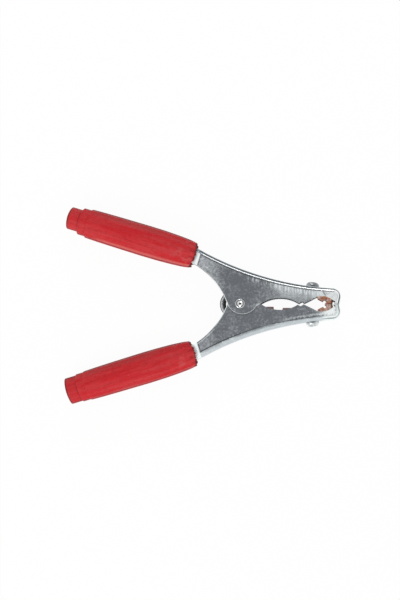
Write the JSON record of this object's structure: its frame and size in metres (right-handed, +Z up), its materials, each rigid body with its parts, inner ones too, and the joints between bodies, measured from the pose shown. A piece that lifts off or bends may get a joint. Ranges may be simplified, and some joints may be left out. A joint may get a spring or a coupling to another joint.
{
  "type": "spring clamp",
  "caption": "Spring-loaded lead clamp: nested pressed-steel jaws on a rivet with a torsion spring, toothed copper contacts, terminal screws and fluted vinyl grips.",
  "frame": {"origin": "middle of the clamp's footprint in X, the parting line of the shut jaws in Y, on the face it lies on", "axes": "+X towards the nose of the jaws, +Y towards the jaw that is the outer channel, +Z up along the pivot from the face it lies on"},
  "size_m": [0.1706, 0.1228, 0.019],
  "materials": {
    "jaw_steel": "satin zinc plate with fine speckle and press marks near the folds",
    "contact_copper": "bare rolled copper, slightly tarnished",
    "spring_wire": "zinc-plated spring wire",
    "rivet_steel": "bright zinc plate, burnished on the rolled head",
    "fastener_zinc": "bright zinc plate",
    "grip_vinyl": "soft red moulded vinyl with a low sheen"
  },
  "bodies": {
    "upper_jaw": {"upper_jaw_shell": "jaw_steel", "upper_contact": "contact_copper", "upper_terminal_screw": "fastener_zinc", "upper_lock_washer": "fastener_zinc", "upper_terminal_nut": "fastener_zinc", "upper_grip_sleeve": "grip_vinyl", "pivot_rivet": "rivet_steel", "pivot_spacer": "rivet_steel", "torsion_spring": "spring_wire"},
    "lower_jaw": {"lower_jaw_shell": "jaw_steel", "lower_contact": "contact_copper", "lower_terminal_screw": "fastener_zinc", "lower_lock_washer": "fastener_zinc", "lower_terminal_nut": "fastener_zinc", "lower_grip_sleeve": "grip_vinyl"}
  },
  "joints": [
    {"name": "jaw_hinge", "type": "hinge", "parent": "upper_jaw", "child": "lower_jaw", "pos_m": [0.02384, 0, 0.0095], "axis": [0, 0, -1], "range_deg": [0, 44], "stiffness_Nm_per_rad": 1.05, "springref_deg": -25.78, "deforming": ["torsion_spring"]}
  ]
}
